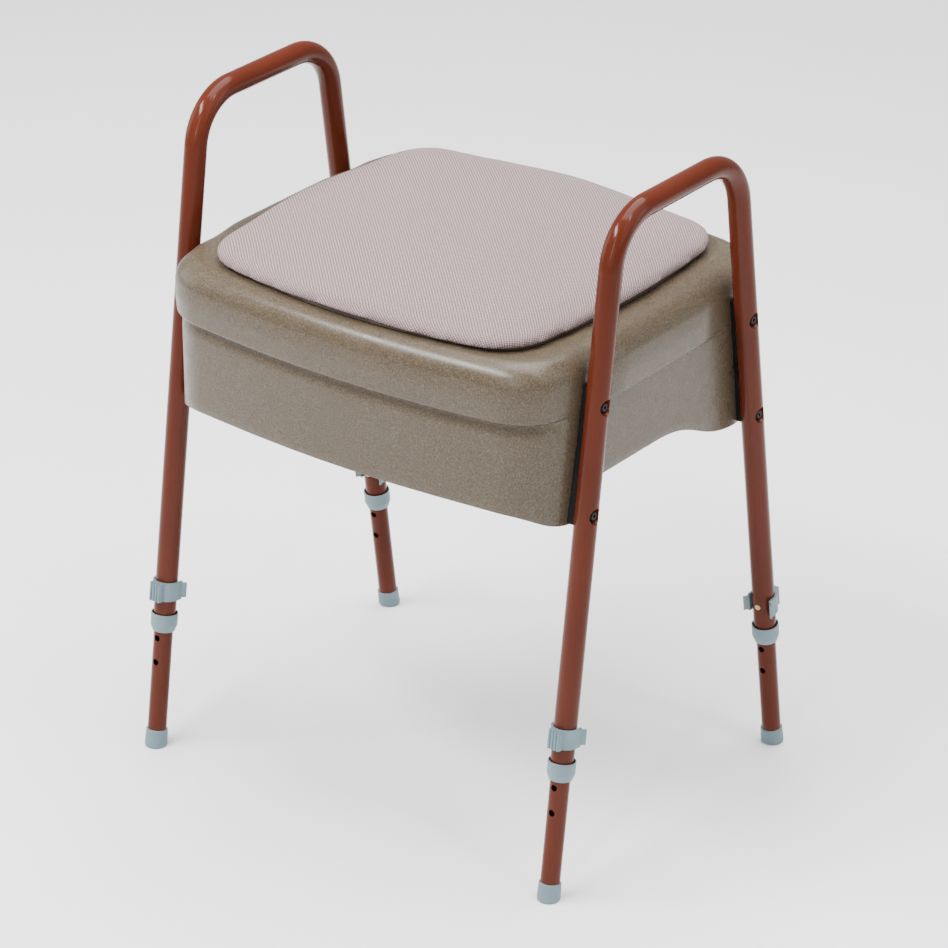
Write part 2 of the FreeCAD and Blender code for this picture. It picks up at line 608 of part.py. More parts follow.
def pan_lid():
    """A flat lid with a locating ring below and a low bar to lift it by."""
    low_z = PAN_FLANGE_Z[1]
    top_z = low_z + LID_THICKNESS
    mouth_x, mouth_y = PAN_TOP_HALF
    plate = rounded_block(mouth_x + LID_OVERLAP, mouth_y + LID_OVERLAP, PAN_CORNER, low_z, top_z)
    plate = plate.makeFillet(1.2, edges_at_height(plate, top_z))
    outer = rounded_block(mouth_x - LID_RING_GAP, mouth_y - LID_RING_GAP, PAN_CORNER,
                          low_z - LID_RING_DEPTH, low_z)
    inset = LID_RING_GAP + LID_RING_WALL
    inner = rounded_block(mouth_x - inset, mouth_y - inset, PAN_CORNER - LID_RING_WALL,
                          low_z - LID_RING_DEPTH - 1, low_z)
    grip = rounded_block(LID_GRIP_HALF[0], LID_GRIP_HALF[1], 5, top_z, top_z + LID_GRIP_HEIGHT)
    return plate.multiFuse([outer.cut(inner), grip]).removeSplitter()


def pad_block(inset, low_z, high_z):
    """The pad's bowed outline, made smaller all round by an inset."""
    return bowed_block(PAD_HALF_WIDTH - inset, PAD_FRONT - inset, PAD_BOW - inset, PAD_CORNER - inset,
                       low_z, high_z, PAD_SIDE_BOW - inset)


def pad_crown(drop):
    """The domed top as a surface with nine poles: level along its four edges, highest in the middle."""
    surface = Part.BezierSurface()
    surface.increase(2, 2)
    level = PAD_EDGE_Z - drop
    peak = level + 4 * (PAD_TOP_Z - PAD_EDGE_Z)
    reach_x, reach_y = PAD_HALF_WIDTH + CROWN_MARGIN, PAD_FRONT + CROWN_MARGIN
    for column in (1, 2, 3):
        for row in (1, 2, 3):
            height = peak if column == row == 2 else level
            surface.setPole(column, row, V((column - 2) * reach_x, (row - 2) * reach_y, height))
    return surface.toShape()


def crowned_pad(inset):
    """The pad's outline under its domed top, with the upper edge rounded over."""
    below_crown = pad_crown(inset).extrude(V(0, 0, PAD_BOTTOM_Z - PAD_TOP_Z))
    pad = pad_block(inset, PAD_HEM_Z, PAD_TOP_Z).common(below_crown).Solids[0]
    upper = [edge for edge in pad.Edges if edge.BoundBox.ZMin > PAD_EDGE_Z - inset - 1]
    return pad.makeFillet(PAD_EDGE_ROUND - inset, upper)


def seat_board():
    board = pad_block(BOARD_INSET, PAD_BOTTOM_Z, PAD_BOTTOM_Z + BOARD_THICKNESS)
    return board.makeFillet(1.5, edges_at_height(board, PAD_BOTTOM_Z))


def seat_foam():
    below_board_top = pad_block(0, PAD_BOTTOM_Z, PAD_BOTTOM_Z + BOARD_THICKNESS)
    return crowned_pad(COVER_THICKNESS).cut(below_board_top)


def seat_cover(board, foam):
    """The fabric cover: over the foam, round its edge and hemmed round the board."""
    outer = crowned_pad(0)
    outer = outer.makeFillet(PAD_HEM_ROUND, edges_at_height(outer, PAD_HEM_Z))
    board_space = pad_block(BOARD_INSET, PAD_BOTTOM_Z, PAD_BOTTOM_Z + BOARD_THICKNESS)
    return outer.cut(board_space).cut(foam)


def pad_locators():
    """Four blocks under the board that drop into the seat aperture."""
    low_z = PAD_BOTTOM_Z - LOCATOR_DROP
    inset = LOCATOR_GAP + LOCATOR_THICKNESS / 2
    reach_x, reach_y = APERTURE_HALF[0] - inset, APERTURE_HALF[1] - inset
    blocks = []
    for _, sign in SIDES:
        for centre, half in ((V(sign * reach_x, 0, 0), V(LOCATOR_THICKNESS / 2, 9, 0)),
                             (V(0, sign * reach_y, 0), V(20, LOCATOR_THICKNESS / 2, 0))):
            block = box(centre - half + V(0, 0, low_z), centre + half + V(0, 0, PAD_BOTTOM_Z))
            blocks.append(block.makeFillet(2, edges_at_height(block, low_z)))
    return group(blocks)


def main():
    os.makedirs("parts", exist_ok=True)
    export(seat_shell(), "seat_shell")
    board, foam = seat_board(), seat_foam()
    export(board, "seat_board")
    export(foam, "seat_foam")
    export(seat_cover(board, foam), "seat_cover")
    export(pad_locators(), "pad_locators")
    export(commode_pan(), "commode_pan")
    export(pan_lid(), "pan_lid")
    export(runner_screws(), "runner_screws")
    leg, bush, cup, clip, pin = inner_leg(), collar(), ferrule(), locking_clip(), locking_pin()
    for side_name, side in SIDES:
        export(side_frame(side), side_name + "_side_frame")
        export(pan_runner(side), side_name + "_pan_runner")
        export(at_bolts(bolt, side), side_name + "_frame_bolts")
        export(group([saddle_strip(side, end) for _, end in ENDS]), side_name + "_saddle_strips")
        export(at_bolts(washer, side), side_name + "_washers")
        export(at_bolts(nut, side), side_name + "_nuts")
        for end_name, end in ENDS:
            corner = end_name + "_" + side_name
            export(place_on_leg(leg, side, end), corner + "_leg")
            export(level_sole(place_on_leg(cup, side, end)), corner + "_ferrule")
            export(place_on_leg(bush, side, end), corner + "_collar")
            export(place_on_leg(clip if end < 0 else face_rearwards(clip), side, end), corner + "_clip")
            export(place_on_leg(pin if end < 0 else face_rearwards(pin), side, end), corner + "_pin")


SHELL_SKIN = shell_skin()
SHELL_HOLLOW = shell_hollow()
main()
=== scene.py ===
# Looks of the commode chair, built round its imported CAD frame. Metres, +Z up, -Y is the front.
import json
import math

import bpy
import bmesh
import numpy as np
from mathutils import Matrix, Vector


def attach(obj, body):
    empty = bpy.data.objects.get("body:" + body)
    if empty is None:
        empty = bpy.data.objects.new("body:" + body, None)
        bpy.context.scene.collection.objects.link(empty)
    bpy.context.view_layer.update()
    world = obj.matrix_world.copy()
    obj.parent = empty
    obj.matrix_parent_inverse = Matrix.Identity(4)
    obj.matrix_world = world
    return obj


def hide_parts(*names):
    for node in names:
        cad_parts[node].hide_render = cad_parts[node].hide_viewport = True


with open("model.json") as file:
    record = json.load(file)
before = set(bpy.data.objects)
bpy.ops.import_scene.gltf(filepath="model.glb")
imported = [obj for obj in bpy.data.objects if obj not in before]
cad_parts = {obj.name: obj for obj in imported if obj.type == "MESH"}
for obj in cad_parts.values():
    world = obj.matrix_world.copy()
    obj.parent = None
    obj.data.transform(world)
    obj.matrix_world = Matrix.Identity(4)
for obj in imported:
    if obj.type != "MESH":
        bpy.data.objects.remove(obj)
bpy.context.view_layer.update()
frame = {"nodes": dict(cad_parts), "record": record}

MM = 0.001

# ---------------------------------------------------------------- shell sizes, in millimetres
SHELL_HALF_WIDTH = 227.0
SHELL_FRONT = 197.5
SHELL_BOW = 1132.0
SHELL_CORNER = 64.0
SHELL_WALL = 4.0
STRAIGHT = 1.0e5                # a bow radius that is straight to the eye
OVERHANG = 6.5                  # how far the rim stands out beyond the apron at the front
RIM_SIDE_GROW = 0.4             # and all round, even beside the tubes
BULGE_X = 233.6                 # and between the tubes
STEP_Z = 475.0
STEP_UNDERCUT = 2.6             # where the wall ends and the step begins, below STEP_Z
HOLLOW_HEIGHT = 15.0            # the apron draws in under the rim across the front and rear
HOLLOW_DEPTH = 2.4
OVERHANG_Y = (138, 174)         # the overhang grows from none to full between these distances
BULGE_Y = (58, 112)             # and the bulge between the tubes fades between these
CREASE_Z = 496.0                # widest line of the rim, below its roll
RIM_TOP_Z = 529.5
RIM_ROLL = 24.0
APRON_FRONT_Z = 383.0           # lower edge across the front and rear
APRON_CORNER_Z = 366.0          # and at the lobes beside the tubes
SIDE_ARCH_Z = 399.3             # and along the sides
FRONT_LEVEL_Y = 199.0
LOBE_Y = 137.0
SIDE_FRONT_LEVEL_Y = -100.0
SIDE_MIDDLE_Y = -44.0           # somewhere on the level part of the sides
SIDE_REAR_LEVEL_Y = -4.0
APERTURE = (105.0, 128.0)
APERTURE_POWER = 2.7            # of the superellipse that the aperture follows
LIP_WALL = 3.0
LIP_BOTTOM_Z = 497.0
PAN_WAY_HALF_WIDTH = 151.0      # opening in the rear apron for the pan
PAN_WAY_Y = (150.0, 300.0)
PAN_WAY_Z = (330.0, 497.0)
PAN_WAY_CORNER = 24.0
HEM_HEIGHT = 1.4
HEM_PROFILE = ((-2.2, 0.0), (-1.3, 0.0), (-0.5, 0.4), (0.0, HEM_HEIGHT))    # out, and up from the lower edge
STEP_PROFILE = ((0.03, -1.7), (0.16, -0.9), (0.50, -0.5), (0.70, -0.1), (0.78, 0.8), (0.80, 2.2),
                (0.83, 6.0), (0.88, 10.0), (0.93, 14.0), (0.975, 17.5))     # share of overhang, and up
FACE_DRAW_IN = 0.4              # how far the face draws in before the roll starts
DECK_INSETS = (32, 44)          # rings on the flat top, in from the face

# ---------------------------------------------------------------- padded seat sizes, in millimetres
PAD_HALF = (200.7, 191.0)
PAD_BOW = (866.0, 717.0)        # of the sides, and of the front and rear
PAD_CORNER = 59.5
PAD_HEM_Z = 531.4               # underside of the cover, round the board
PAD_EDGE_Z = 542.5
PAD_TOP_Z = 557.0
PAD_EDGE_ROUND = 9.0
PAD_SLACK = 1.4                 # how much smaller the pad is cut before it is inflated
CROWN_REACH = (205.7, 196.0)
PAD_HEM_PROFILE = ((9.0, 0.2), (3.4, 0.2), (1.9, 0.6), (0.8, 1.5), (0.2, 2.7), (0.0, 4.0))   # in, and up
PAD_TOP_INSET = 14.0
PAD_VOXEL = 4.5
SWELL_FRAMES = 20
EVENING_ROUNDS = 40
WEAVE_PITCH = 3.6


# ---------------------------------------------------------------- general helpers
def smoothstep(low, high, value):
    share = np.clip((value - low) / (high - low), 0.0, 1.0)
    return share * share * (3 - 2 * share)


def new_object(name, mesh):
    piece = bpy.data.objects.new(name, mesh)
    bpy.context.scene.collection.objects.link(piece)
    return piece


def mesh_from_rings(name, rings, closed_section):
    """Skins rings of equal length with quads. With closed_section the last ring meets the first."""
    count = len(rings[0])
    vertices = np.concatenate(rings) * MM
    faces = []
    pairs = list(range(len(rings) - 1)) + ([len(rings) - 1] if closed_section else [])
    for level in pairs:
        above = (level + 1) % len(rings)
        for point in range(count):
            beside = (point + 1) % count
            faces.append((level * count + point, level * count + beside,
                          above * count + beside, above * count + point))
    mesh = bpy.data.meshes.new(name)
    mesh.from_pydata([tuple(v) for v in vertices], [], faces)
    mesh.validate()
    return mesh


def smooth_by_angle(piece, degrees):
    piece.data.shade_smooth()
    piece.data.set_sharp_from_angle(angle=math.radians(degrees))


def apply_modifiers(piece):
    graph = bpy.context.evaluated_depsgraph_get()
    made = bpy.data.meshes.new_from_object(piece.evaluated_get(graph))
    piece.modifiers.clear()
    piece.data = made


def finish_piece(piece, material, body, slot, *replaced):
    piece.data.materials.clear()
    piece.data.materials.append(material)
    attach(piece, body)
    if replaced:
        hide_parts(*replaced)
    return piece


# ---------------------------------------------------------------- node helpers
class Nodes:
    """A material's node tree, with short calls for the nodes used here."""

    def __init__(self, name):
        self.material = bpy.data.materials.new(name)
        self.material.use_nodes = True
        self.tree = self.material.node_tree
        self.shader = self.tree.nodes["Principled BSDF"]

    def add(self, kind, **values):
        node = self.tree.nodes.new(kind)
        for key, value in values.items():
            if key in node.inputs:
                node.inputs[key].default_value = value
            else:
                setattr(node, key, value)
        return node

    def link(self, source, target):
        self.tree.links.new(source, target)

    def set(self, **values):
        for key, value in values.items():
            self.shader.inputs[key.replace("_", " ")].default_value = value

    def coords(self):
        return self.add("ShaderNodeTexCoord").outputs["Object"]

    def noise(self, vector, scale, detail=2.0, roughness=0.5):
        node = self.add("ShaderNodeTexNoise", Scale=scale, Detail=detail, Roughness=roughness)
        self.link(vector, node.inputs["Vector"])
        return node.outputs["Fac"]

    def ramp(self, factor, *stops):
        node = self.add("ShaderNodeValToRGB")
        elements = node.color_ramp.elements
        while len(elements) < len(stops):
            elements.new(0.5)
        for element, (position, colour) in zip(elements, stops):
            element.position = position
            element.color = (*colour, 1.0)
        self.link(factor, node.inputs["Fac"])
        return node.outputs["Color"]

    def remap(self, value, low, high, to_low, to_high):
        node = self.add("ShaderNodeMapRange")
        self.link(value, node.inputs["Value"])
        limits = {"From Min": low, "From Max": high, "To Min": to_low, "To Max": to_high}
        for name, number in limits.items():
            node.inputs[name].default_value = number
        return node.outputs["Result"]

    def math(self, operation, first, second=None):
        node = self.add("ShaderNodeMath", operation=operation)
        for socket, value in zip(node.inputs, (first, second)):
            if isinstance(value, (int, float)):
                socket.default_value = value
            elif value is not None:
                self.link(value, socket)
        return node.outputs["Value"]

    def mix(self, factor, first, second):
        node = self.add("ShaderNodeMix", data_type="RGBA")
        sockets = [s for s in node.inputs if s.enabled]
        for socket, value in zip(sockets, (factor, first, second)):
            if isinstance(value, tuple):
                socket.default_value = (*value, 1.0)
            else:
                self.link(value, socket)
        return [s for s in node.outputs if s.enabled][0]

    def bump(self, height, strength, distance, below=None):
        node = self.add("ShaderNodeBump", Strength=strength, Distance=distance)
        self.link(height, node.inputs["Height"])
        if below is not None:
            self.link(below, node.inputs["Normal"])
        return node.outputs["Normal"]

    def use(self, socket, value):
        self.link(value, self.shader.inputs[socket])


# ---------------------------------------------------------------- materials
FABRIC_GAP = (0.096, 0.067, 0.069)
FABRIC_MIDDLE = (0.208, 0.156, 0.157)
FABRIC_THREAD = (0.378, 0.292, 0.288)
FABRIC_FLECK = (0.190, 0.128, 0.130)


def painted_tube_material():
    """Glossy red-brown powder coat: faint orange peel, slow colour drift and small rubbed specks."""
    n = Nodes("painted_tube")
    at = n.coords()
    drift = n.noise(at, 9.0, 3.0)
    base = n.ramp(drift, (0.3, (0.064, 0.0120, 0.0054)), (0.7, (0.080, 0.0156, 0.0070)))
    specks = n.remap(n.noise(at, 420.0, 3.0, 0.6), 0.72, 0.80, 0.0, 0.35)
    n.use("Base Color", n.mix(specks, base, (0.20, 0.08, 0.045)))
    n.use("Roughness", n.remap(n.noise(at, 60.0, 4.0, 0.6), 0.3, 0.7, 0.12, 0.18))
    n.set(Specular_IOR_Level=0.13)
    n.use("Normal", n.bump(n.noise(at, 300.0, 2.0), 0.05, 0.0003))
    return n.material


def shell_material():
    """Granite-effect moulding: taupe with fine dark, pale and rusty grains, semi-gloss."""
    n = Nodes("seat_moulding")
    at = n.coords()
    ground = n.ramp(n.noise(at, 14.0, 4.0), (0.3, (0.057, 0.0425, 0.0262)),
                    (0.7, (0.067, 0.0510, 0.0325)))
    grain = n.noise(at, 760.0, 2.0, 0.65)
    colour = n.mix(n.remap(grain, 0.50, 0.36, 0.0, 0.60), ground, (0.030, 0.0215, 0.0125))
    colour = n.mix(n.remap(grain, 0.52, 0.68, 0.0, 0.62), colour, (0.142, 0.120, 0.090))
    warm = n.noise(at, 510.0, 2.0, 0.6)
    colour = n.mix(n.remap(warm, 0.53, 0.66, 0.0, 0.55), colour, (0.112, 0.065, 0.032))
    n.use("Base Color", colour)
    n.use("Roughness", n.remap(n.noise(at, 90.0, 3.0), 0.3, 0.7, 0.26, 0.36))
    n.set(Specular_IOR_Level=0.32)
    fine = n.bump(n.noise(at, 800.0, 2.0), 0.12, 0.0003)
    n.use("Normal", n.bump(n.noise(at, 60.0, 2.0), 0.08, 0.001, fine))
    return n.material


def fabric_material():
    """Pinkish-beige weave: light threads over and under, with soft darker gaps between them."""
    n = Nodes("seat_fabric")
    layout = n.add("ShaderNodeUVMap", uv_map="weave")
    split = n.add("ShaderNodeSeparateXYZ")
    n.link(layout.outputs["UV"], split.inputs["Vector"])
    wander = n.noise(layout.outputs["UV"], 35.0, 6.0, 0.62)
    turns = 2 * math.pi / (WEAVE_PITCH * MM)
    shift = n.math("MULTIPLY", wander, 5.0)
    across = n.math("MULTIPLY", split.outputs["X"], turns)
    along = n.math("MULTIPLY", split.outputs["Y"], turns)
    warp = n.math("SINE", n.math("ADD", across, shift))
    weft = n.math("SINE", n.math("SUBTRACT", along, shift))
    ribs = n.math("COSINE", n.math("ADD", across, along))
    weave = n.math("SUBTRACT", n.math("MULTIPLY", warp, weft), n.math("MULTIPLY", ribs, 0.40))
    melange = n.noise(layout.outputs["UV"], 420.0, 3.0, 0.65)
    colour = n.ramp(n.remap(weave, -1.1, 1.1, 0.0, 1.0), (0.12, FABRIC_GAP), (0.5, FABRIC_MIDDLE),
                    (0.85, FABRIC_THREAD))
    n.use("Base Color", n.mix(n.remap(melange, 0.38, 0.62, 0.0, 0.6), colour, FABRIC_FLECK))
    n.set(Roughness=0.95, Sheen_Weight=0.08, Sheen_Roughness=0.5, Specular_IOR_Level=0.15)
    fuzz = n.bump(melange, 0.15, 0.0003)
    n.use("Normal", n.bump(weave, 0.45, 0.0005, fuzz))
    return n.material


def grey_plastic_material():
    """Light blue-grey satin moulding with fine texture and slight dirt variation."""
    n = Nodes("grey_plastic")
    at = n.coords()
    n.use("Base Color", n.ramp(n.noise(at, 45.0, 4.0), (0.3, (0.105, 0.165, 0.190)),
                               (0.7, (0.130, 0.200, 0.228))))
    n.use("Roughness", n.remap(n.noise(at, 150.0, 3.0), 0.3, 0.7, 0.38, 0.52))
    n.use("Normal", n.bump(n.noise(at, 1400.0, 2.0), 0.15, 0.0002))
    return n.material


def simple_material(name, dark, pale, roughness, metallic=0.0, specular=0.5):
    """A plain moulded or plated finish with drifting tone, uneven gloss and a fine grain."""
    n = Nodes(name)
    at = n.coords()
    n.use("Base Color", n.ramp(n.noise(at, 70.0, 4.0), (0.3, dark), (0.7, pale)))
    n.use("Roughness", n.remap(n.noise(at, 130.0, 3.0), 0.3, 0.7, roughness * 0.85, roughness * 1.15))
    n.set(Metallic=metallic, Specular_IOR_Level=specular)
    n.use("Normal", n.bump(n.noise(at, 900.0, 2.0), 0.15, 0.0002))
    return n.material


PLAIN_FINISHES = {
    "black_plastic": {"dark": (0.004, 0.0035, 0.004), "pale": (0.008, 0.007, 0.008), "roughness": 0.6,
                      "specular": 0.1},
    "black_bolt": {"dark": (0.002, 0.002, 0.0025), "pale": (0.005, 0.005, 0.006), "roughness": 0.35,
                   "specular": 0.1},
    "pin_brass": {"dark": (0.40, 0.28, 0.11), "pale": (0.52, 0.38, 0.17), "roughness": 0.35,
                  "metallic": 1.0},
    "zinc_steel": {"dark": (0.50, 0.51, 0.52), "pale": (0.62, 0.63, 0.64), "roughness": 0.35,
                   "metallic": 1.0},
    "pan_plastic": {"dark": (0.68, 0.68, 0.64), "pale": (0.74, 0.74, 0.70), "roughness": 0.30},
    "runner_plastic": {"dark": (0.05, 0.05, 0.05), "pale": (0.075, 0.075, 0.075), "roughness": 0.5},
    "seat_board": {"dark": (0.040, 0.029, 0.021), "pale": (0.058, 0.043, 0.031), "roughness": 0.7,
                   "specular": 0.2},
}


def floor_material():
    n = Nodes("floor")
    at = n.coords()
    n.use("Base Color", n.ramp(n.noise(at, 3.0, 3.0), (0.3, (0.90, 0.90, 0.90)),
                               (0.7, (0.93, 0.93, 0.93))))
    n.set(Roughness=0.7, Specular_IOR_Level=0.2)
    return n.material


# ---------------------------------------------------------------- seat shell
def rounded_outline(half_x, half_y, bow_x, bow_y, corner, step):
    """Points and outward normals, counter-clockwise from the front, of a bowed rounded rectangle.

    The front and rear are arcs of radius bow_y, the sides arcs of radius bow_x, all in millimetres.
    """
    centre_f = np.array([0.0, bow_y - half_y])
    centre_s = np.array([half_x - bow_x, 0.0])
    reach_f, reach_s = bow_y - corner, bow_x - corner
    between = centre_s - centre_f
    gap = math.hypot(*between)
    along = (reach_f ** 2 - reach_s ** 2 + gap ** 2) / (2 * gap)
    across = math.sqrt(reach_f ** 2 - along ** 2)
    unit = between / gap
    centre_c = centre_f + unit * along + np.array([-unit[1], unit[0]]) * across
    start = math.atan2(centre_c[0] - centre_f[0], centre_f[1] - centre_c[1])
    end = math.pi / 2 - math.atan2(centre_s[1] - centre_c[1], centre_c[0] - centre_s[0])
    quarter = []
    for centre, radius, first, last in ((centre_f, bow_y, 0.0, start), (centre_c, corner, start, end),
                                        (centre_s, bow_x, end, math.pi / 2)):
        steps = max(2, round(radius * (last - first) / step))
        for a in np.linspace(first, last, steps + 1)[:-1]:
            quarter.append((centre[0] + radius * math.sin(a), centre[1] - radius * math.cos(a),
                            math.sin(a), -math.cos(a)))
    quarter.append((half_x, 0.0, 1.0, 0.0))
    quarter = np.array(quarter)
    half = np.vstack([quarter, quarter[::-1][1:] * (1, -1, 1, -1)])
    ring = np.vstack([half, half[::-1][1:-1] * (-1, 1, -1, 1)])
    return ring[:, :2], ring[:, 2:]


def s_height(start, end, low, high, value):
    """Height of a smooth step that is level at both ends, the same curve as the CAD's Bezier."""
    t = np.linspace(0, 1, 60)
    along = start + (end - start) * (1.5 * t * (1 - t) + t ** 3)
    height = low + (high - low) * t * t * (3 - 2 * t)
    order = np.argsort(along)
    return np.interp(value, along[order], height[order])


def lower_edge(points):
    """The apron's lower edge height at each outline point, which depends only on Y."""
    y = points[:, 1]
    front_lobe = s_height(-FRONT_LEVEL_Y, -LOBE_Y, APRON_FRONT_Z, APRON_CORNER_Z, y)
    front_side = s_height(-LOBE_Y, SIDE_FRONT_LEVEL_Y, APRON_CORNER_Z, SIDE_ARCH_Z, y)
    rear_side = s_height(SIDE_REAR_LEVEL_Y, LOBE_Y, SIDE_ARCH_Z, APRON_CORNER_Z, y)
    rear_lobe = s_height(LOBE_Y, FRONT_LEVEL_Y, APRON_CORNER_Z, APRON_FRONT_Z, y)
    front = np.where(y < -LOBE_Y, front_lobe, front_side)
    rear = np.where(y < LOBE_Y, rear_side, rear_lobe)
    return np.where(y < SIDE_MIDDLE_Y, front, rear)


def rim_overhang(points):
    """How far the rim stands out at each outline point: nothing beside the tubes."""
    y = np.abs(points[:, 1])
    between_tubes = BULGE_X - SHELL_HALF_WIDTH - RIM_SIDE_GROW
    return OVERHANG * smoothstep(*OVERHANG_Y, y) + between_tubes * (1 - smoothstep(*BULGE_Y, y))


def aperture_ring(points, grow):
    """The seat aperture grown by some millimetres, with one point for each outline point."""
    angle = np.arctan2(points[:, 1] / 205, points[:, 0] / 228)
    half_x, half_y = APERTURE[0] + grow, APERTURE[1] + grow
    power = 2 / APERTURE_POWER
    c, s = np.cos(angle), np.sin(angle)
    return np.stack([half_x * np.sign(c) * np.abs(c) ** power,
                     half_y * np.sign(s) * np.abs(s) ** power], 1)


def shell_rings():
    """The shell's section swept round it: apron, step, rolled rim, deck, lip and the inner side back down."""
    points, normals = rounded_outline(SHELL_HALF_WIDTH, SHELL_FRONT, STRAIGHT, SHELL_BOW,
                                      SHELL_CORNER, 5.0)
    edge = lower_edge(points)

    def ring(offset, z):
        flat = points + normals * np.reshape(offset * np.ones(len(points)), (-1, 1))
        return np.column_stack([flat, z * np.ones(len(points))])

    def wall_ring(offset, top_z, share):
        return ring(offset, edge + HEM_HEIGHT + (top_z - edge - HEM_HEIGHT) * share)

    rings = [ring(out, edge + up) for out, up in HEM_PROFILE]
    hollow_z = STEP_Z - STEP_UNDERCUT - HOLLOW_HEIGHT
    rings += [wall_ring(0.0, hollow_z, share) for share in np.linspace(0, 1, 10)[1:]]
    overhang = rim_overhang(points)
    hollow = HOLLOW_DEPTH * smoothstep(*OVERHANG_Y, np.abs(points[:, 1]))
    rings += [ring(-hollow * smoothstep(0, 1, share), hollow_z + HOLLOW_HEIGHT * share)
              for share in np.linspace(0, 1, 7)[1:]]
    for share, up in STEP_PROFILE:
        side_grow = RIM_SIDE_GROW * min(1, max(0, up / 4))
        rings.append(ring(share * overhang + side_grow, STEP_Z + up))
    face = overhang + RIM_SIDE_GROW
    start_z = RIM_TOP_Z - RIM_ROLL
    rings += [ring(face, CREASE_Z), ring(face - 0.15, CREASE_Z + 3.0)]
    for a in np.linspace(math.pi / 24, math.pi / 2, 12):
        inset = FACE_DRAW_IN + (RIM_ROLL - FACE_DRAW_IN) * (1 - math.cos(a))
        rings.append(ring(face - inset, start_z + RIM_ROLL * math.sin(a)))
    rings += [ring(face - inset, RIM_TOP_Z) for inset in DECK_INSETS]
    deck = rings[-1][:, :2]
    for share in (0.4, 0.8):
        flat = deck * (1 - share) + aperture_ring(points, 5.0) * share
        rings.append(np.column_stack([flat, np.full(len(points), RIM_TOP_Z)]))

    under = RIM_TOP_Z - SHELL_WALL
    lip = ((3.0, RIM_TOP_Z), (0.9, RIM_TOP_Z - 0.9), (0.0, RIM_TOP_Z - 3.0), (0.0, LIP_BOTTOM_Z + 1.0),
           (0.8, LIP_BOTTOM_Z), (2.2, LIP_BOTTOM_Z), (LIP_WALL, LIP_BOTTOM_Z + 1.0),
           (LIP_WALL, under - 1.5), (LIP_WALL + 1.5, under))
    rings += [np.column_stack([aperture_ring(points, grow), np.full(len(points), z)]) for grow, z in lip]
    inner_face = face - SHELL_WALL
    inner_roll = RIM_ROLL - SHELL_WALL
    rings.append(ring(inner_face - 42, under))
    for a in np.linspace(math.pi / 2, 0, 8):
        rings.append(ring(inner_face - inner_roll * (1 - math.cos(a)),
                          under - inner_roll + inner_roll * math.sin(a)))
    rings += [ring(inner_face, 484.0), ring(inner_face, STEP_Z + SHELL_WALL + 1.0),
              ring(-SHELL_WALL, STEP_Z + SHELL_WALL)]
    rings += [wall_ring(-SHELL_WALL, STEP_Z, share) for share in np.linspace(1, 0, 10)]
    rings += [ring(-SHELL_WALL + 0.5, edge + 0.4), ring(-SHELL_WALL + 1.0, edge)]
    return rings


def rounded_prism(name, half_x, low_y, high_y, low_z, high_z, corner):
    """A block along Y whose two upper edges are rounded, in millimetres."""
    outline = [(-half_x, low_z), (half_x, low_z)]
    outline += [(half_x - corner + corner * math.cos(a), high_z - corner + corner * math.sin(a))
                for a in np.linspace(0, math.pi / 2, 10)]
    outline += [(-half_x + corner - corner * math.sin(a), high_z - corner + corner * math.cos(a))
                for a in np.linspace(0, math.pi / 2, 10)]
    rings = [np.array([(x, y, z) for x, z in outline]) for y in (low_y, high_y)]
    mesh = mesh_from_rings(name, rings, False)
    count = len(outline)
    made = bmesh.new()
    made.from_mesh(mesh)
    made.verts.ensure_lookup_table()
    made.faces.new([made.verts[i] for i in range(count)])
    made.faces.new([made.verts[count + i] for i in reversed(range(count))])
    bmesh.ops.recalc_face_normals(made, faces=made.faces)
    made.to_mesh(mesh)
    made.free()
    return new_object(name, mesh)


def seat_shell(material):
    mesh = mesh_from_rings("seat_moulding_shell", shell_rings(), True)
    shell = new_object("seat_moulding_shell", mesh)
    made = bmesh.new()
    made.from_mesh(mesh)
    bmesh.ops.recalc_face_normals(made, faces=made.faces)
    made.to_mesh(mesh)
    made.free()
    opening = rounded_prism("pan_way_cutter", PAN_WAY_HALF_WIDTH, *PAN_WAY_Y, *PAN_WAY_Z, PAN_WAY_CORNER)
    cut = shell.modifiers.new("pan_way", "BOOLEAN")
    cut.object = opening
    cut.operation = "DIFFERENCE"
    cut.solver = "EXACT"
    apply_modifiers(shell)
    bpy.data.objects.remove(opening)
    smooth_by_angle(shell, 40)
    return finish_piece(shell, material, "frame", "seat_moulding", "seat_shell")


# ---------------------------------------------------------------- padded seat
def crown_z(flat):
    """Height of the pad's top at plan points: level along the edges and domed in the middle."""
    across = 1 - (flat[:, 0] / CROWN_REACH[0]) ** 2
    along = 1 - (flat[:, 1] / CROWN_REACH[1]) ** 2
    return PAD_EDGE_Z + (PAD_TOP_Z - PAD_EDGE_Z) * across * along


def pad_outline(step):
    return rounded_outline(*PAD_HALF, *PAD_BOW, PAD_CORNER, step)


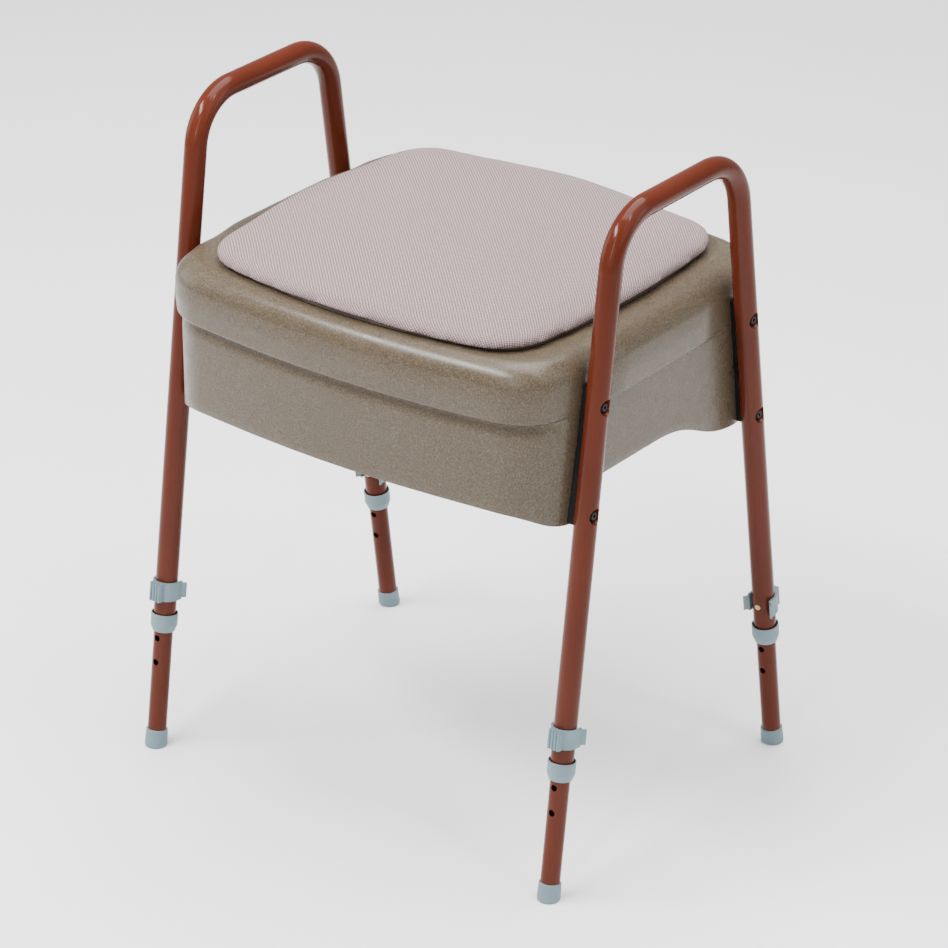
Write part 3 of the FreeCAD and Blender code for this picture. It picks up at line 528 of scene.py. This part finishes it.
def pad_blank():
    """The pad before it is inflated: hemmed underside, rounded edge and a top a little too low."""
    points, normals = pad_outline(6.0)

    def ring(inset, z):
        return np.column_stack([points - normals * inset, z * np.ones(len(points))])

    def top_ring(flat, drop):
        return np.column_stack([flat, crown_z(flat) - PAD_SLACK - drop])

    rings = [np.column_stack([points * share, np.full(len(points), PAD_HEM_Z + 0.2)])
             for share in (0.02, 0.4, 0.8)]
    rings += [ring(PAD_SLACK + inset, PAD_HEM_Z + up) for inset, up in PAD_HEM_PROFILE]
    radius = PAD_EDGE_ROUND - PAD_SLACK
    for turn in np.radians((18, 36, 54, 72, 90)):
        inset = PAD_SLACK + radius * (1 - math.cos(turn))
        rings.append(top_ring(points - normals * inset, radius * (1 - math.sin(turn))))
    rings += [top_ring((points - normals * PAD_TOP_INSET) * share, 0.0)
              for share in (1.0, 0.85, 0.7, 0.55, 0.4, 0.25, 0.1, 0.02)]
    mesh = mesh_from_rings("seat_pad_cover", rings, False)
    made = bmesh.new()
    made.from_mesh(mesh)
    bmesh.ops.holes_fill(made, edges=[edge for edge in made.edges if edge.is_boundary])
    bmesh.ops.recalc_face_normals(made, faces=made.faces)
    made.to_mesh(mesh)
    made.free()
    return new_object("seat_pad_cover", mesh)


def evened_out(mesh, moved, rounds):
    """Averages the movement of neighbouring points, to take out buckles and leave the swelling."""
    ends = np.array([edge.vertices[:] for edge in mesh.edges])
    both_ways = np.vstack([ends, ends[:, ::-1]])
    neighbours = np.bincount(both_ways[:, 0], minlength=len(moved))[:, None]
    for _ in range(rounds):
        total = np.zeros_like(moved)
        np.add.at(total, both_ways[:, 0], moved[both_ways[:, 1]])
        moved = (moved + total) / (1 + neighbours)
    return moved


def inflate(piece, pinned_below, pressure, cap):
    """Swells a closed mesh as cloth, with its underside held and no point moving more than the cap."""
    remesh = piece.modifiers.new("even", "REMESH")
    remesh.mode = "VOXEL"
    remesh.voxel_size = PAD_VOXEL * MM
    apply_modifiers(piece)
    held = piece.vertex_groups.new(name="held")
    rest = np.array([v.co for v in piece.data.vertices])
    held.add([i for i, co in enumerate(rest) if co[2] < pinned_below * MM], 1.0, "REPLACE")
    cloth = piece.modifiers.new("inflate", "CLOTH")
    settings = cloth.settings
    settings.quality = 6
    settings.mass = 0.3
    settings.tension_stiffness = 30
    settings.compression_stiffness = 4
    settings.shear_stiffness = 3
    settings.bending_stiffness = 8.0
    settings.use_pressure = True
    settings.uniform_pressure_force = pressure
    settings.effector_weights.gravity = 0
    settings.vertex_group_mass = "held"
    scene = bpy.context.scene
    for frame_number in range(1, SWELL_FRAMES + 1):
        scene.frame_set(frame_number)
    graph = bpy.context.evaluated_depsgraph_get()
    swollen = piece.evaluated_get(graph).data
    moved = np.array([v.co for v in swollen.vertices]) - rest
    piece.modifiers.clear()
    moved = evened_out(piece.data, moved, EVENING_ROUNDS)
    distance = np.linalg.norm(moved, axis=1, keepdims=True)
    limited = moved * np.minimum(1.0, cap * MM / np.maximum(distance, 1e-9))
    for vertex, co in zip(piece.data.vertices, rest + limited):
        vertex.co = co
    scene.frame_set(1)
    finer = piece.modifiers.new("finer", "SUBSURF")
    finer.levels = 1
    apply_modifiers(piece)


def lay_weave(piece):
    """UVs in metres that unroll the fabric: flat on top and folded out past the pad's edge."""
    points, normals = pad_outline(4.0)
    inner = points - normals * 4.0      # so that points on the rim find the outline beside them
    co = np.array([v.co for v in piece.data.vertices]) / MM
    nearest = np.argmin(((co[:, None, :2] - inner[None]) ** 2).sum(2), axis=1)
    drop = np.maximum(0.0, crown_z(co) - co[:, 2])
    flat = (co[:, :2] + normals[nearest] * drop[:, None]) * MM
    layer = piece.data.uv_layers.new(name="weave")
    for loop, uv in zip(piece.data.loops, layer.uv):
        uv.vector = flat[loop.vertex_index]


def seat_pad(material):
    piece = pad_blank()
    inflate(piece, PAD_HEM_Z + 0.8, 4.0, 6.0)
    lay_weave(piece)
    piece.data.shade_smooth()
    finish_piece(piece, material, "seat_pad", "seat_fabric", "seat_cover", "seat_foam")


# ---------------------------------------------------------------- camera, light and floor
CAMERA_PLACE = (2.4157, -3.1736, 2.2718)
CAMERA_AZIMUTH = 37.14
CAMERA_ELEVATION = 26.35
LENS = 175.4
FLOOR_REACH = 30.0
FLOOR_Z = -0.0005
LIGHT_TARGET = (0, 0, 0.45)
LIGHTS = {                      # place, size and power
    "strip": ((-0.80, -1.45, 2.75), (1.9, 0.36), 145),
    "tall_strip": ((0.80, -2.47, 1.95), (0.05, 1.5), 14),
    "high_lamp": ((1.45, -0.15, 2.85), (0.12, 0.6), 12),
    "overhead": ((0, 0.5, 3.2), (2.4, 2.4), 170),
    "front_fill": ((1.2, -3.6, 1.5), (3.0, 1.8), 20),
    "right_panel": ((2.45, 1.45, 0.85), (0.6, 1.3), 7),
    "right_high": ((2.3, 0.3, 2.2), (2.6, 2.6), 30),
    "left_fill": ((-2.6, -0.8, 1.2), (1.6, 1.6), 22),
}


def camera():
    azimuth, elevation = math.radians(CAMERA_AZIMUTH), math.radians(CAMERA_ELEVATION)
    back = Vector((math.sin(azimuth) * math.cos(elevation), -math.cos(azimuth) * math.cos(elevation),
                   math.sin(elevation)))
    data = bpy.data.cameras.new("camera")
    data.lens = LENS
    data.sensor_width = 36.0
    data.clip_end = 100.0
    made = bpy.data.objects.new("camera", data)
    bpy.context.scene.collection.objects.link(made)
    made.location = CAMERA_PLACE
    made.rotation_mode = "QUATERNION"
    made.rotation_quaternion = (-back).to_track_quat("-Z", "Y")
    bpy.context.scene.camera = made


def area_light(name, position, size, power):
    data = bpy.data.lights.new(name, "AREA")
    data.shape = "RECTANGLE"
    data.size, data.size_y = size
    data.energy = power
    made = bpy.data.objects.new(name, data)
    bpy.context.scene.collection.objects.link(made)
    made.location = position
    made.rotation_mode = "QUATERNION"
    made.rotation_quaternion = (Vector(position) - Vector(LIGHT_TARGET)).to_track_quat("Z", "Y")


def studio():
    mesh = bpy.data.meshes.new("floor")
    corners = [(x * FLOOR_REACH, y * FLOOR_REACH, 0) for x, y in ((-1, -1), (1, -1), (1, 1), (-1, 1))]
    mesh.from_pydata(corners, [], [(0, 1, 2, 3)])
    floor = new_object("floor", mesh)
    floor.data.materials.append(floor_material())
    floor.location.z = FLOOR_Z
    world = bpy.data.worlds.new("studio")
    world.use_nodes = True
    background = world.node_tree.nodes["Background"]
    background.inputs["Color"].default_value = (1.0, 1.0, 1.0, 1.0)
    background.inputs["Strength"].default_value = 0.6
    bpy.context.scene.world = world
    for name, (position, size, power) in LIGHTS.items():
        area_light(name, position, size, power)


# ---------------------------------------------------------------- assembly
def main():
    camera()
    studio()
    moulding = shell_material()
    fabric = fabric_material()
    finishes = {"painted_tube": painted_tube_material(), "seat_moulding": moulding, "seat_fabric": fabric,
                "seat_foam": fabric, "grey_plastic": grey_plastic_material()}
    for name, values in PLAIN_FINISHES.items():
        finishes[name] = simple_material(name, **values)
    slots = {part["node"]: part["material_slot"] for part in frame["record"]["subparts"]}
    for name, node in frame["nodes"].items():
        node.data.materials.clear()
        node.data.materials.append(finishes[slots[name]])
    seat_shell(moulding)
    seat_pad(fabric)


main()
